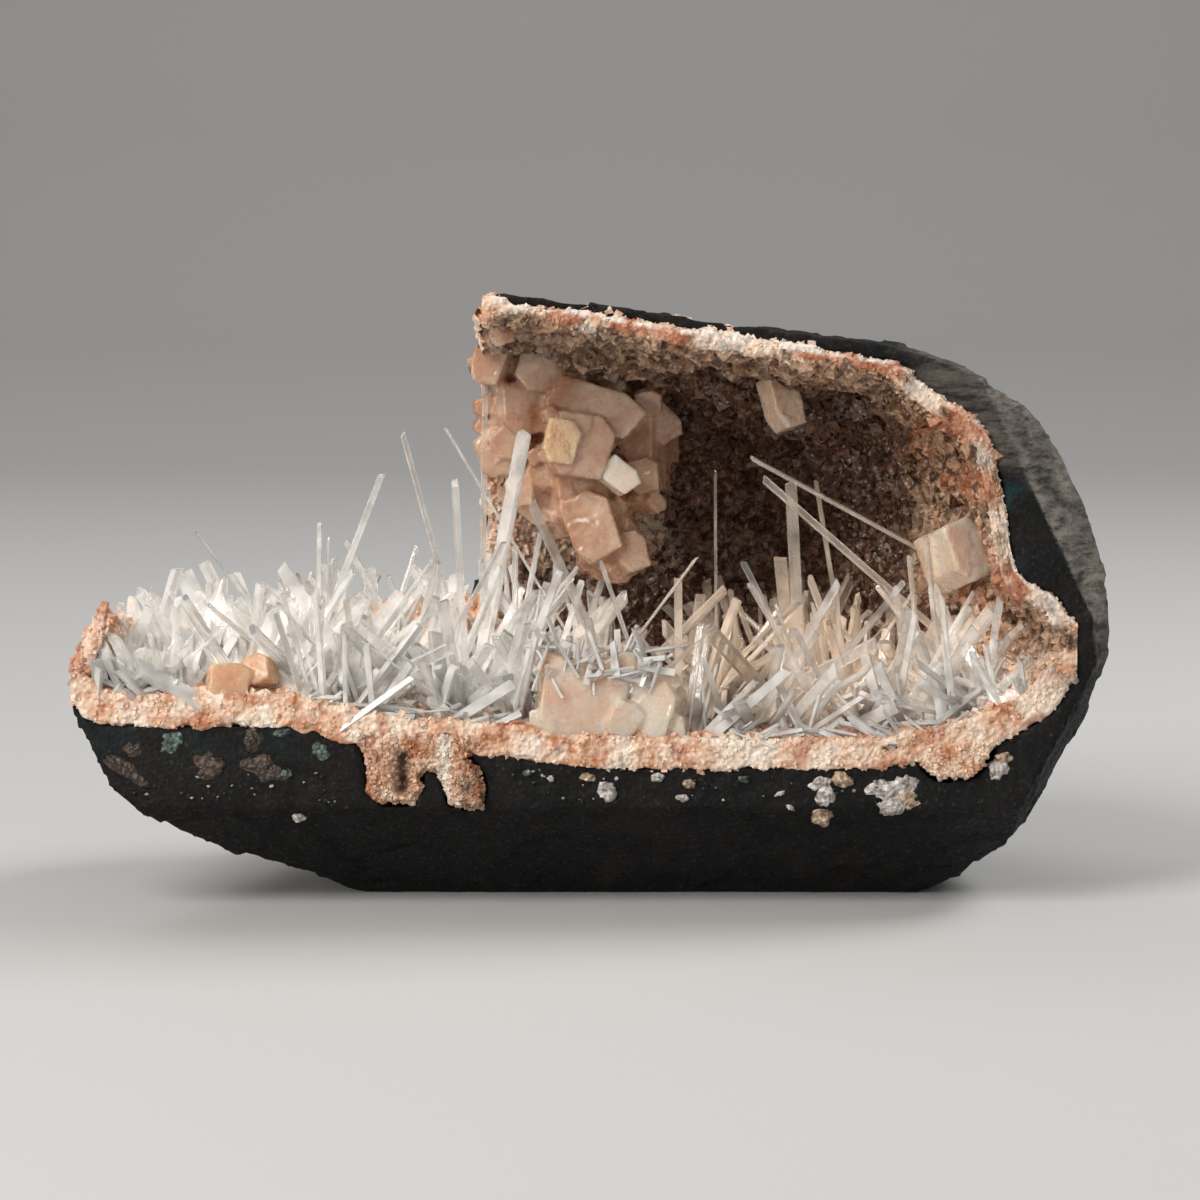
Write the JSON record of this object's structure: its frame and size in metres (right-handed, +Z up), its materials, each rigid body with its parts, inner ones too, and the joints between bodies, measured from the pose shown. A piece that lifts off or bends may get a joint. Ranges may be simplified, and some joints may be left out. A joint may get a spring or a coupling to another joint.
{
  "type": "scolecite geode",
  "caption": "Broken basalt geode with an open hollow lined by a peach zeolite crust, colourless scolecite needles and peach blocky crystals, resting on a flat base.",
  "frame": {"origin": "centre of the flat base, below the middle of the bounding box", "axes": "+X to the right along the open front, +Y from the front section into the rock, +Z up"},
  "size_m": [0.2094, 0.1008, 0.1249],
  "materials": {
    "basalt": "rough",
    "zeolite_crust": "satin"
  },
  "bodies": {
    "root": {"basalt_matrix": "basalt", "crystal_crust": "zeolite_crust"}
  },
  "joints": []
}
